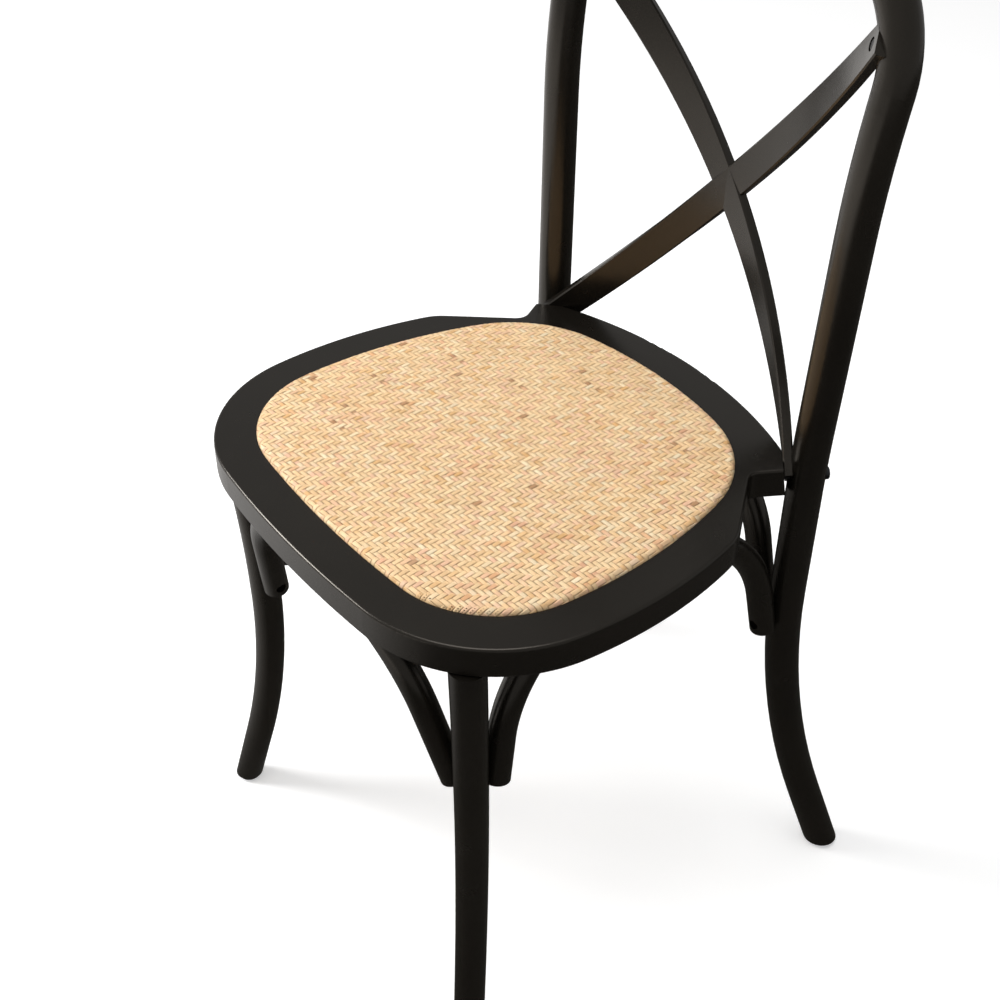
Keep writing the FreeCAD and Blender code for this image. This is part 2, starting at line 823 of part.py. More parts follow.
wood_screw = screw_body(
    "wood_screw", size("screw_head"), size("screw_head_height"), size("screw_shank"), size("screw_length"))
board_screw = screw_body(
    "board_screw", size("board_screw_head"), size("screw_head_height"), size("screw_shank"),
    size("board_screw_length"))
dowel = turned("dowel", [
    (0, 0),
    (size("dowel_diameter") / 2 - 1, 0),
    (size("dowel_diameter") / 2, 1),
    (size("dowel_diameter") / 2, size("dowel_length") - 1),
    (size("dowel_diameter") / 2 - 1, size("dowel_length")),
    (0, size("dowel_length")),
])
glide = turned("glide", [
    (0, 0),
    (size("glide_diameter") / 2 - 1.5, 0),
    (size("glide_diameter") / 2, 1.5),
    (size("glide_diameter") / 2, size("glide_thickness")),
    (size("glide_pin_diameter") / 2, size("glide_thickness")),
    (size("glide_pin_diameter") / 2, size("glide_thickness") + size("glide_pin_length")),
    (0, size("glide_thickness") + size("glide_pin_length")),
])
doc.recompute()


def seats(entries):
    """Placements of screws whose heads sit below the skin of a bar, from points and headings."""
    sunk = ARCH_RADIUS - size("screw_bore_depth")
    return [Placement(point - heading * sunk, Rotation(Z_AXIS, heading)) for point, heading in entries]


def bores(label, placements):
    """Round wells for screw heads, out through the skin of the bar."""
    well = Part.makeCylinder(size("screw_bore") / 2, ARCH_RADIUS * 2, Vector(0, 0, 0), -Z_AXIS)
    return feature(label, Part.makeCompound([well.transformed(place.toMatrix()) for place in placements]))


end_seats = seats([arch.end_screw(sign) for arch in ARCHES.values() for sign in (-1, 1)])
top_seats = seats([arch.top_screw(sign) for arch in ARCHES.values() for sign in (-1, 1)])
arch_end_screws = placed_copies("arch_end_screws", wood_screw, end_seats)
arch_top_screws = placed_copies("arch_top_screws", wood_screw, top_seats)
arch_wells = bores("arch_wells", end_seats + top_seats)


def outer_edge_x(y):
    """How far out the side of the seat stands at a place from front to back."""
    centre_x = size("seat_width") / 2 - size("seat_side_radius")
    return centre_x + math.sqrt(size("seat_side_radius") ** 2 - (y - size("seat_widest_y")) ** 2)


JOINTS = [size("front_joint_y"), size("rear_joint_y")]
dowel_places = []
for joint in JOINTS:
    for sign in (-1, 1):
        for row in (0, 1):
            reach = outer_edge_x(joint) - size("dowel_inset") - row * size("dowel_spacing")
            dowel_places.append(Vector(sign * reach, joint, (SEAT_TOP + SEAT_UNDER) / 2))
half_dowel = size("dowel_length") / 2
dowels = placed_copies("seat_dowels", dowel, [
    Placement(place - Y_AXIS * half_dowel, Rotation(Z_AXIS, Y_AXIS)) for place in dowel_places])
half_hole = half_dowel + size("joint_end_gap")
dowel_hole_radius = size("dowel_diameter") / 2 + size("glue_gap")
dowel_holes = feature("dowel_holes", Part.makeCompound([
    Part.makeCylinder(dowel_hole_radius, half_hole * 2, place - Y_AXIS * half_hole, Y_AXIS)
    for place in dowel_places]))

board_rim = recess_outline(size("ledge_width") / 2)
board_seats = []
for degrees in (30, 65, 115, 150, 210, 245, 295, 330):
    ray = Part.makeLine(Vector(0, 0, 0), Rotation(Z_AXIS, degrees).multVec(X_AXIS * size("seat_width")))
    place = board_rim.distToShape(ray)[1][0][0]
    board_seats.append(Placement(Vector(place.x, place.y, SEAT_UNDER), Rotation()))
board_screws = placed_copies("board_screws", board_screw, board_seats)


# The bolts through the posts, the slats and the ears of the seat


post_at_bolt = Vector(size("post_x"), size("post_y"), SEAT_TOP - size("bolt_drop"))
bolt_seat = POST_RADIUS - size("bolt_spot_depth")
ear_face = SLAT_DEPTH + HALF_THICK
bolt_length = bolt_seat + ear_face + size("bolt_grip_in_ear")
bolt = screw_body(
    "bolt", size("bolt_head"), size("bolt_head_height"), size("bolt_diameter"), bolt_length)
nut_reach = ear_face + size("bolt_grip_in_ear") * 0.7
doc.recompute()


def both_sides(point, heading):
    """A place and heading on the right, and the same on the left."""
    return [(point, heading), (mirrored(point), mirrored(heading))]


bolt_places = [
    Placement(point, Rotation(Z_AXIS, heading))
    for point, heading in both_sides(post_at_bolt + EAR_HEADING * bolt_seat, -EAR_HEADING)]
ear_bolts = placed_copies("ear_bolts", bolt, bolt_places)
nut_foot = post_at_bolt - EAR_HEADING * nut_reach - Z_AXIS * (size("nut_length") / 2)
nut_feet = [point for point, _ in both_sides(nut_foot, Z_AXIS)]
nut_blank = Part.makeCompound([
    Part.makeCylinder(size("nut_diameter") / 2, size("nut_length"), foot) for foot in nut_feet])
nut_blanks = feature("nut_blanks", nut_blank)
nut_holes = feature("nut_holes", Part.makeCompound([
    Part.makeCylinder(
        size("nut_diameter") / 2 + size("glue_gap"), size("nut_length") + OVERRUN,
        foot - Z_AXIS * OVERRUN)
    for foot in nut_feet]))
spot_faces = feature("spot_faces", Part.makeCompound([
    Part.makeCylinder(size("bolt_head") / 2 + 1, OVERRUN, point, -heading)
    for point, heading in both_sides(post_at_bolt + EAR_HEADING * bolt_seat, -EAR_HEADING)]))


# Screws at the slats' high ends


def slat_screw_place(slat):
    """Where the screw at a slat's high end starts: its head is sunk in the slat's front face."""
    _, through, _ = slat.frame(1)
    start = slat.place(1) - through * (HALF_THICK - size("screw_head_height") - size("slat_screw_sink"))
    return Placement(start, Rotation(Z_AXIS, through))


slat_seats = [slat_screw_place(slat) for slat in SLATS.values()]
slat_screws = placed_copies("slat_top_screws", wood_screw, slat_seats)
slat_wells = bores("slat_wells", slat_seats)


# Feet


def at_level(path, level):
    """The point of a path's first straight stretch at a height."""
    start, end = path[0].Vertexes[0].Point, path[0].Vertexes[-1].Point
    return start + (end - start) * ((level - start.z) / (end.z - start.z))


feet = []
for path in (hoop_path, leg_path):
    foot = at_level(path, size("glide_thickness"))
    feet += [Vector(foot.x, foot.y, 0), Vector(-foot.x, foot.y, 0)]
foot_glides = placed_copies("foot_glides", glide, [Placement(foot, Rotation()) for foot in feet])

FAR = 400.0
under_floor = box("under_floor", Vector(-FAR, -FAR, -FAR), Vector(FAR, FAR, size("glide_thickness")))
over_seat_underside = box(
    "over_seat_underside", Vector(-FAR, -FAR, SEAT_UNDER), Vector(FAR, FAR, SEAT_UNDER + FAR))


# Sockets for the front legs


TENON_FOOT = front_leg_top() - FRONT_OUT * size("tenon_inset")
tenon = cylinder(
    "tenon", "sizes.tenon_diameter / 2", size("tenon_length") + OVERRUN / 2, TENON_FOOT - Z_AXIS * (OVERRUN / 2),
    Z_AXIS)
tenon_sockets = feature("tenon_sockets", Part.makeCompound([
    Part.makeCylinder(
        size("tenon_diameter") / 2 + size("glue_gap"), size("tenon_length") + size("joint_end_gap"), point)
    for point in (TENON_FOOT, mirrored(TENON_FOOT))]))


# The faces of the ears, planed to the slats


def ear_trimmer(label, slat):
    """A block whose near face lies on a slat's front face at the slat's low end."""
    across, through, along = slat.frame(-1)
    block = Part.makeBox(120, 60, 120, Vector(-60, 0, -60))
    turn = Rotation(across, through, along, "ZXY")
    return feature(label, block.transformed(Placement(slat.place(-1) - through * HALF_THICK, turn).toMatrix()))


ear_trims = [ear_trimmer(f"ear_trim_{side}", slat) for side, slat in SLATS.items()]
doc.recompute()


# The finished pieces


def keep(label, base, region):
    """The part of a base that lies in a region."""
    result = doc.addObject("Part::Common", label)
    result.Base = base
    result.Tool = region
    return result


low_z, high_z = SEAT_UNDER - 1, SEAT_TOP + 1
front_y, rear_y = JOINTS
regions = {
    "seat_front_rail": (Vector(-FAR, -FAR, low_z), Vector(FAR, front_y, high_z)),
    "seat_rear_rail": (Vector(-FAR, rear_y, low_z), Vector(FAR, FAR, high_z)),
    "seat_right_rail": (Vector(0, front_y, low_z), Vector(FAR, rear_y, high_z)),
}
rail_tools = {
    "seat_front_rail": [dowel_holes, tenon_sockets, arch_top_screws, board_screws],
    "seat_rear_rail": [dowel_holes, ear_bolts, nut_holes, arch_top_screws, board_screws, *ear_trims],
    "seat_right_rail": [dowel_holes, arch_top_screws, board_screws],
}
rail_tools["seat_rear_rail"] += list(slat_solids.values())
parts = {}
for name, (low, high) in regions.items():
    rail_blank = keep(name + "_blank", seat_blank, box(name + "_region", low, high))
    parts[name] = cut(name, rail_blank, rail_tools[name])
parts["seat_left_rail"] = mirror_copy("seat_left_rail", parts["seat_right_rail"])
parts["seat_dowels"] = dowels

board_blank = padded_outline("board_blank", recess_outline(size("board_gap")), "sizes.board_thickness", LEDGE_TOP)
parts["pad_board"] = cut("pad_board", board_blank, [board_screws])
parts["board_screws"] = board_screws


def pad_levels():
    """Insets and heights of the pad's outlines: a flat base, a rolled edge and a soft crown."""
    base = LEDGE_TOP + size("board_thickness")
    rim = SEAT_TOP + size("pad_edge_rise")
    roll = size("pad_roll")
    gap = size("pad_gap")
    levels = [(gap, base), (gap, (base + rim) / 2)]
    levels.append((gap + roll * 0.3, rim - (rim - base) * 0.15))
    levels.append((gap + roll, rim))
    reach = size("recess_front_corner") - roll - gap - 8
    for share in (0.2, 0.45, 0.7, 1.0):
        rise = (size("pad_crown") - size("pad_edge_rise")) * (1 - (1 - share) ** 2)
        levels.append((gap + roll + reach * share, rim + rise))
    return levels


pad_sections = []
for number, (inset, height) in enumerate(pad_levels()):
    outline = recess_outline(inset)
    outline.translate(Vector(0, 0, height))
    pad_sections.append(feature(f"pad_section_{number}", outline))
rattan_pad = doc.addObject("Part::Loft", "rattan_pad")
rattan_pad.Sections = pad_sections
rattan_pad.Solid = True
rattan_pad.Ruled = True
parts["rattan_pad"] = rattan_pad

leg_shank = cut("leg_shank", leg_rod, [over_seat_underside, under_floor, arch_end_screws, foot_glides])
right_leg = doc.addObject("Part::Fuse", "front_leg_right")
right_leg.Base = leg_shank
right_leg.Tool = tenon
parts["front_leg_right"] = right_leg
parts["front_leg_left"] = mirror_copy("front_leg_left", right_leg)

parts["back_bow"] = cut("back_bow", hoop_rod, [
    under_floor, arch_end_screws, foot_glides, slat_screws, ear_bolts, spot_faces, *slat_solids.values()])

arch_tools = [over_seat_underside, arch_wells, arch_end_screws, arch_top_screws]
arch_neighbours = {
    "front_arch": [leg_rod, left_leg_rod],
    "rear_arch": [hoop_rod],
    "right_arch": [leg_rod, hoop_rod],
}
for name, neighbours in arch_neighbours.items():
    arch_rod = rod(name + "_rod", ARCHES[name].path(), "sizes.arch_diameter / 2", "sizes.arch_diameter / 2")
    parts[name] = cut(name, arch_rod, arch_tools + neighbours)
parts["left_arch"] = mirror_copy("left_arch", parts["right_arch"])

half_lap = slat_body(
    "half_lap", SLATS["left"], 0, size("slat_thickness"), spread(-0.25, 0.25, 5),
    size("slat_width") / 2 + size("glue_gap"), 0)
slat_tools = [ear_bolts, slat_wells, slat_screws]
parts["back_slat_right"] = cut("back_slat_right", slat_solids["right"], [half_lap, *slat_tools])
parts["back_slat_left"] = cut("back_slat_left", slat_solids["left"], [parts["back_slat_right"], *slat_tools])
parts["ear_bolts"] = ear_bolts
parts["ear_nuts"] = cut("ear_nuts", nut_blanks, [ear_bolts])
parts["slat_top_screws"] = slat_screws
parts["arch_end_screws"] = arch_end_screws
parts["arch_top_screws"] = arch_top_screws
parts["foot_glides"] = foot_glides
doc.recompute()


# The chair is moved so that its origin lies under the middle of its depth, and written out


front_reach = size("seat_front_y")
back_reach = parts["back_bow"].Shape.optimalBoundingBox().YMax
shift = Placement(Vector(0, -(front_reach + back_reach) / 2, 0), Rotation())
FREE_KINDS = ("Part::Box", "Part::Cylinder", "Part::Circle", "Part::Feature", "PartDesign::Body")
for thing in doc.Objects:
    if thing.TypeId in FREE_KINDS:
        thing.Placement = shift.multiply(thing.Placement)
doc.recompute()

for thing in doc.Objects:
    for trouble in ("Invalid", "Error"):
        if trouble in thing.State:
            raise RuntimeError(f"{thing.Label} did not build")

os.makedirs("parts", exist_ok=True)
for name, part in parts.items():
    part.Label = name
    if part.Shape.isNull() or not part.Shape.isValid():
        raise RuntimeError(f"{name} has no sound shape")
    part.Shape.exportStep(f"parts/{name}.step")
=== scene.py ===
"""Cross back dining chair in satin black, with an inset pad of woven rattan."""

import json
import math
import random

import bpy
import numpy as np
from mathutils import Matrix, Vector


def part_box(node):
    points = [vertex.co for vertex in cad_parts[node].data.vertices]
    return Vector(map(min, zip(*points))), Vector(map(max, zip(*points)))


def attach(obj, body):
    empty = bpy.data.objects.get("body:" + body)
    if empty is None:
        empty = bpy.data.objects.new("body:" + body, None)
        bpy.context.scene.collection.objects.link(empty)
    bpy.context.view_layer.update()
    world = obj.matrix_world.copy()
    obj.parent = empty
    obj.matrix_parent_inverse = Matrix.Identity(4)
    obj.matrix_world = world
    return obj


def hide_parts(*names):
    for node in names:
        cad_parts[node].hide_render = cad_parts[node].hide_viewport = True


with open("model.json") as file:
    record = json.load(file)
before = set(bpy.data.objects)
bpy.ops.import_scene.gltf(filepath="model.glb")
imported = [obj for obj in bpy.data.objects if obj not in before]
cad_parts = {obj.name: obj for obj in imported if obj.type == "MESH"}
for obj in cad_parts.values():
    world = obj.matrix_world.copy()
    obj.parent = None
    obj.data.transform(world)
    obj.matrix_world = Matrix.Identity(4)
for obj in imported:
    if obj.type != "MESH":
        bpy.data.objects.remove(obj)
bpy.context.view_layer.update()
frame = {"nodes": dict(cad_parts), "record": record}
nodes = frame["nodes"]
MM = 0.001


# Materials


STEEL_WEAR = 0.08


def new_material(name):
    """A fresh node material, with its node tree and its main shader."""
    material = bpy.data.materials.new(name)
    material.use_nodes = True
    tree = material.node_tree
    return material, tree, tree.nodes["Principled BSDF"]


def add_node(tree, kind, **settings):
    """A node of a kind, with its settings and input values filled in."""
    node = tree.nodes.new(kind)
    for key, value in settings.items():
        if key in node.inputs:
            node.inputs[key].default_value = value
        else:
            setattr(node, key, value)
    return node


def object_noise(tree, scale, detail=4.0, stretch=(1, 1, 1)):
    """The value of a noise in the object's own coordinates, stretched along its axes."""
    place = add_node(tree, "ShaderNodeTexCoord")
    mapping = add_node(tree, "ShaderNodeMapping")
    mapping.inputs["Scale"].default_value = stretch
    noise = add_node(tree, "ShaderNodeTexNoise", Scale=scale, Detail=detail)
    tree.links.new(place.outputs["Object"], mapping.inputs["Vector"])
    tree.links.new(mapping.outputs["Vector"], noise.inputs["Vector"])
    return noise.outputs["Fac"]


def ramp(tree, value, stops):
    """The colour that a ramp of stops gives for a value."""
    node = add_node(tree, "ShaderNodeValToRGB")
    points = node.color_ramp.elements
    points[0].position, points[0].color = stops[0][0], (*stops[0][1], 1)
    points[1].position, points[1].color = stops[-1][0], (*stops[-1][1], 1)
    for position, colour in stops[1:-1]:
        points.new(position).color = (*colour, 1)
    tree.links.new(value, node.inputs["Fac"])
    return node.outputs["Color"]


def to_range(tree, value, low, high):
    """A value from 0 to 1 spread over another range."""
    node = add_node(tree, "ShaderNodeMapRange")
    node.inputs["To Min"].default_value = low
    node.inputs["To Max"].default_value = high
    tree.links.new(value, node.inputs["Value"])
    return node.outputs["Result"]


def bump(tree, shader, height, strength, distance):
    """Small relief on a shader's surface."""
    node = add_node(tree, "ShaderNodeBump", Strength=strength, Distance=distance)
    tree.links.new(height, node.inputs["Height"])
    tree.links.new(node.outputs["Normal"], shader.inputs["Normal"])


def black_paint():
    """Satin black paint over close grained wood: faint pores, and a slight warmth."""
    material, tree, shader = new_material("satin_black_paint")
    tone = ramp(tree, object_noise(tree, 9.0), [
        (0.3, (0.0046, 0.0039, 0.0030)),
        (0.7, (0.0078, 0.0066, 0.0050)),
    ])
    tree.links.new(tone, shader.inputs["Base Color"])
    smear = object_noise(tree, 35.0)
    tree.links.new(to_range(tree, smear, 0.22, 0.30), shader.inputs["Roughness"])
    bump(tree, shader, object_noise(tree, 420.0, 2.0), 0.10, 0.0004)
    shader.inputs["Specular IOR Level"].default_value = 0.5
    shader.inputs["Specular Tint"].default_value = (1.0, 0.91, 0.80, 1)
    return material


def bare_wood():
    """Pale plywood face grain."""
    material, tree, shader = new_material("bare_plywood")
    grain = object_noise(tree, 14.0, 6.0, (18, 1, 18))
    tone = ramp(tree, grain, [
        (0.3, (0.42, 0.27, 0.15)),
        (0.6, (0.58, 0.41, 0.25)),
        (0.8, (0.66, 0.49, 0.31)),
    ])
    tree.links.new(tone, shader.inputs["Base Color"])
    bump(tree, shader, grain, 0.2, 0.0004)
    shader.inputs["Roughness"].default_value = 0.7
    return material


def steel(name, colour, roughness):
    """Screw steel with a faintly uneven finish."""
    material, tree, shader = new_material(name)
    wear = object_noise(tree, 600.0, 3.0)
    uneven = to_range(tree, wear, roughness - STEEL_WEAR, roughness + STEEL_WEAR)
    tree.links.new(uneven, shader.inputs["Roughness"])
    shader.inputs["Base Color"].default_value = (*colour, 1)
    shader.inputs["Metallic"].default_value = 1.0
    return material


def black_plastic():
    """Matt black plastic with a fine moulded texture."""
    material, tree, shader = new_material("glide_plastic")
    bump(tree, shader, object_noise(tree, 900.0, 2.0), 0.3, 0.0003)
    shader.inputs["Base Color"].default_value = (0.012, 0.012, 0.012, 1)
    shader.inputs["Roughness"].default_value = 0.6
    return material


def rattan_skin():
    """Split rattan: the strands' own tones, with fibres and darker streaks along them."""
    material, tree, shader = new_material("split_rattan")
    tone = add_node(tree, "ShaderNodeAttribute", attribute_name="strand_tone")
    along = add_node(tree, "ShaderNodeUVMap", uv_map="strand")
    mapping = add_node(tree, "ShaderNodeMapping")
    mapping.inputs["Scale"].default_value = (0.09, 3.2, 1)
    fibres = add_node(tree, "ShaderNodeTexNoise", Scale=2.4, Detail=4.0)
    tree.links.new(along.outputs["UV"], mapping.inputs["Vector"])
    tree.links.new(mapping.outputs["Vector"], fibres.inputs["Vector"])
    streak = ramp(tree, fibres.outputs["Fac"], [
        (0.28, (0.78, 0.70, 0.60)),
        (0.45, (0.97, 0.95, 0.92)),
        (0.8, (1.07, 1.07, 1.07)),
    ])
    mix = add_node(tree, "ShaderNodeMix", data_type="RGBA", blend_type="MULTIPLY")
    mix.inputs["Factor"].default_value = 1.0
    tree.links.new(tone.outputs["Color"], mix.inputs["A"])
    tree.links.new(streak, mix.inputs["B"])
    tree.links.new(mix.outputs["Result"], shader.inputs["Base Color"])
    bump(tree, shader, fibres.outputs["Fac"], 0.25, 0.0003)
    shader.inputs["Roughness"].default_value = 0.55
    shader.inputs["Specular IOR Level"].default_value = 0.4
    return material


def painted_shade_core_skin():
    """The inner face seen through the weave's slits, its brown darkened as painted shade in the slits."""
    material, tree, shader = new_material("pad_core")
    # painted shade: these dark browns stand in for the shade down in the weave's slits
    tone = ramp(tree, object_noise(tree, 500.0), [
        (0.3, (0.10, 0.055, 0.025)),
        (0.7, (0.20, 0.115, 0.055)),
    ])
    tree.links.new(tone, shader.inputs["Base Color"])
    shader.inputs["Roughness"].default_value = 0.8
    return material


FINISHES = {
    "black_wood": black_paint(),
    "raw_wood": bare_wood(),
    "black_steel": steel("black_screw_steel", (0.05, 0.05, 0.052), 0.42),
    "zinc_steel": steel("zinc_steel", (0.55, 0.55, 0.53), 0.38),
    "glide_plastic": black_plastic(),
}


def dress(node, material):
    """Gives a CAD node one finish all over."""
    node.data.materials.clear()
    node.data.materials.append(material)


for entry in frame["record"]["subparts"]:
    finish = FINISHES.get(entry["material_slot"])
    if finish:
        dress(nodes[entry["node"]], finish)


# The woven pad, in millimetres until it is laid on the chair


STRAND_PITCH = 4.26
STRAND_WIDTH = 4.22
NARROWEST_SHARE = 0.95
STRAND_ARCH = 0.12
STRAND_PROFILE = ((-0.5, 0.0), (-0.30, STRAND_ARCH), (0.30, STRAND_ARCH), (0.5, 0.0))
STRAND_SLIP = 0.10
STRAND_SWAY = 0.12
SWAY_LENGTH = 37.0
WEAVE_SWING = 0.19
WEAVE_TURN = math.radians(4.8)
WEAVE_COS, WEAVE_SIN = math.cos(WEAVE_TURN), math.sin(WEAVE_TURN)
TWILL_REPEAT = 4
TWILL_FLOAT = 2
SAMPLES_PER_PITCH = 2
FEWEST_SAMPLES = 4
SEARCH_REACH = 8.0
SPARE_ROWS = 12
GRAIN_SHIFT_ALONG = 7.3
GRAIN_SHIFT_ACROSS = 1.7

PAD_ROLL = 4.0
PAD_SIDE = 2.4
QUARTER_TURN = math.pi / 2
ROLL_END = PAD_ROLL - PAD_ROLL * QUARTER_TURN
SIDE_END = ROLL_END - PAD_SIDE
CROWN_RISE = 1.5
CROWN_REACH = 80.0
RIM_ABOVE_SEAT = 3.4
FOOT_BAND = 0.4
OUTLINE_STEPS = 720
OUTLINE_WAVES = 36
SPOTS_AT_ONCE = 20000

CORE_DEPTH = 0.85
CORE_THINNING = 4
CORE_ROLL_SHARES = (0.75, 0.5, 0.25, 0.0)
CORE_CROWN_STEPS = (12.0, 24.0, 40.0, 60.0, 80.0)

# Tones of a strand with how often each comes up; a whole strand takes one of the common ones
STRAND_TONES = (
    ((1.00, 0.74, 0.44), 30),
    ((0.98, 0.68, 0.38), 24),
    ((0.92, 0.62, 0.34), 14),
    ((0.95, 0.60, 0.40), 13),
    ((1.00, 0.82, 0.56), 9),
    ((0.84, 0.50, 0.22), 6),
    ((0.84, 0.46, 0.27), 4),
    ((0.46, 0.22, 0.10), 0.45),
)
COMMON_TONES = 6
DARK_BELOW = 0.82
DARK_SHARE = 0.8
FLOAT_SHARES = (0.45, 0.85)
FLOAT_SHADES = (0.88, 1.02)

pad_low, pad_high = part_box("rattan_pad")
_, seat_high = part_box("seat_front_rail")
PAD_MIDDLE_Y = (pad_low.y + pad_high.y) / 2 / MM
PAD_BASE = pad_low.z / MM
PAD_RIM = seat_high.z / MM + RIM_ABOVE_SEAT

dice = random.Random(41)


def pad_outline():
    """The smoothed outline of the CAD pad's foot, about its middle: points and inward normals."""
    level = pad_low.z + FOOT_BAND * MM
    ring = {}
    for vertex in nodes["rattan_pad"].data.vertices:
        if vertex.co.z < level:
            x, y = vertex.co.x / MM, vertex.co.y / MM - PAD_MIDDLE_Y
            ring[round(math.atan2(y, x), 4)] = math.hypot(x, y)
    angles = np.array(sorted(ring))
    reach = np.array([ring[angle] for angle in angles])
    turn = np.linspace(-math.pi, math.pi, OUTLINE_STEPS, endpoint=False)
    waves = np.fft.rfft(np.interp(turn, angles, reach, period=2 * math.pi))
    waves[OUTLINE_WAVES:] = 0
    reach = np.fft.irfft(waves, OUTLINE_STEPS)
    points = np.stack([reach * np.cos(turn), reach * np.sin(turn)], axis=1)
    along = np.roll(points, -1, axis=0) - np.roll(points, 1, axis=0)
    along /= np.linalg.norm(along, axis=1)[:, None]
    return points, np.stack([-along[:, 1], along[:, 0]], axis=1)


rim_points, rim_inward = pad_outline()
rim_offset = np.sum(rim_points * rim_inward, axis=1)


def distance_inside(spots):
    """How far inside the outline each flat spot lies, and the inward direction there."""
    gaps = np.empty(len(spots))
    inward = np.empty((len(spots), 2))
    for start in range(0, len(spots), SPOTS_AT_ONCE):
        part = slice(start, start + SPOTS_AT_ONCE)
        reach = spots[part] @ rim_inward.T - rim_offset
        nearest = np.argmin(reach, axis=1)
        gaps[part] = reach[np.arange(len(nearest)), nearest]
        inward[part] = rim_inward[nearest]
    return gaps, inward


def laid_on_pad(spots, height):
    """Flat spots laid over the crown, the rolled edge and the side, at heights above them, in metres."""
    gaps, inward = distance_inside(spots)
    past = PAD_ROLL - gaps
    turn = np.clip(past / PAD_ROLL, 0, QUARTER_TURN)
    down = np.maximum(past - PAD_ROLL * QUARTER_TURN, 0)
    share = np.clip(-past / CROWN_REACH, 0, 1)
    crown = CROWN_RISE * (1 - (1 - share) ** 2)
    inset = np.where(past > 0, PAD_ROLL * (1 - np.sin(turn)), gaps)
    level = PAD_RIM + crown - PAD_ROLL * (1 - np.cos(turn)) - down
    flat = spots + inward * (inset - gaps - height * np.sin(turn))[:, None]
    return np.column_stack([flat[:, 0], flat[:, 1] + PAD_MIDDLE_Y, level + height * np.cos(turn)]) * MM


def turned(x, y):
    """Places in the weave's own directions, turned into the pad's."""
    return np.column_stack([x * WEAVE_COS - y * WEAVE_SIN, x * WEAVE_SIN + y * WEAVE_COS])


def strand_colours(floats):
    """Tones along one strand: each float has a tone of its own, near the strand's."""
    tones, weights = zip(*STRAND_TONES)
    base = np.array(dice.choices(tones[:COMMON_TONES], weights[:COMMON_TONES])[0])
    colours = {}
    for number in sorted(set(floats)):
        own = np.array(dice.choices(tones, weights)[0])
        share = DARK_SHARE if own[0] < DARK_BELOW else dice.uniform(*FLOAT_SHARES)
        colours[number] = (base * (1 - share) + own * share) * dice.uniform(*FLOAT_SHADES)
    return np.array([colours[number] for number in floats])


def over_or_under(family, row, crossed):
    """1 where a strand passes over the crossed strands of the other family, -1 where it passes under."""
    if family == 0:
        return np.where((row - crossed) % TWILL_REPEAT < TWILL_FLOAT, 1.0, -1.0)
    return np.where((crossed - row) % TWILL_REPEAT < TWILL_FLOAT, -1.0, 1.0)


def mat_strands():
    """Every strand of the twill: family, row, flat spots, their heights and tones, and places along it."""
    count = int((np.abs(rim_points).max() + SEARCH_REACH) / STRAND_PITCH) + SPARE_ROWS
    stations = np.arange(-count * SAMPLES_PER_PITCH, count * SAMPLES_PER_PITCH + 1)
    along = stations * (STRAND_PITCH / SAMPLES_PER_PITCH)
    strands = []
    for family in (0, 1):
        for row in range(-count, count + 1):
            across = row * STRAND_PITCH + dice.uniform(-STRAND_SLIP, STRAND_SLIP)
            sway = dice.uniform(-STRAND_SWAY, STRAND_SWAY)
            side = across + sway * np.sin(along / SWAY_LENGTH + row)
            flat = turned(side, along) if family == 0 else turned(along, side)
            gaps, _ = distance_inside(flat)
            inside = np.nonzero(gaps > SIDE_END)[0]
            if len(inside) < FEWEST_SAMPLES:
                continue
            chosen = slice(inside[0], inside[-1] + 1)
            crossing = stations[chosen] / SAMPLES_PER_PITCH
            before = over_or_under(family, row, np.floor(crossing).astype(int))
            after = over_or_under(family, row, np.ceil(crossing).astype(int))
            height = (before + after) / 2 * WEAVE_SWING
            lead = row if family == 0 else row + TWILL_FLOAT
            floats = np.floor((crossing - lead - 0.5) / TWILL_REPEAT).astype(int).tolist()
            strands.append((family, row, flat[chosen], height, strand_colours(floats), along[chosen]))
    return strands


def woven_mesh():
    """All strands as closed, gently arched ribbons: places, faces, tones and UVs along and across."""
    spots, heights, tones, faces, uvs = [], [], [], [], []
    base = 0
    for family, row, flat, height, colour, along in mat_strands():
        square = turned(1, 0)[0] if family == 0 else turned(0, 1)[0]
        width = STRAND_WIDTH * dice.uniform(NARROWEST_SHARE, 1.0)
        count = len(flat)
        for share, lift in STRAND_PROFILE:
            spots.append(flat + square * (share * width))
            heights.append(height + lift)
            tones.append(colour)
            across = np.full(count, (share + row * GRAIN_SHIFT_ACROSS) * width)
            uvs.append(np.column_stack([along + row * GRAIN_SHIFT_ALONG, across]))
        corners = range(len(STRAND_PROFILE))
        for corner in corners:
            first = base + corner * count
            second = base + (corner + 1) % len(corners) * count
            for number in range(count - 1):
                quad = (first + number, first + number + 1, second + number + 1, second + number)
                faces.append(quad if family == 1 else quad[::-1])
        for number in (0, count - 1):
            cap = tuple(base + corner * count + number for corner in corners)
            start = number == 0
            faces.append(cap if start == (family == 1) else cap[::-1])
        base += len(corners) * count
    places = laid_on_pad(np.vstack(spots), np.concatenate(heights))
    return places, faces, np.vstack(tones), np.vstack(uvs)


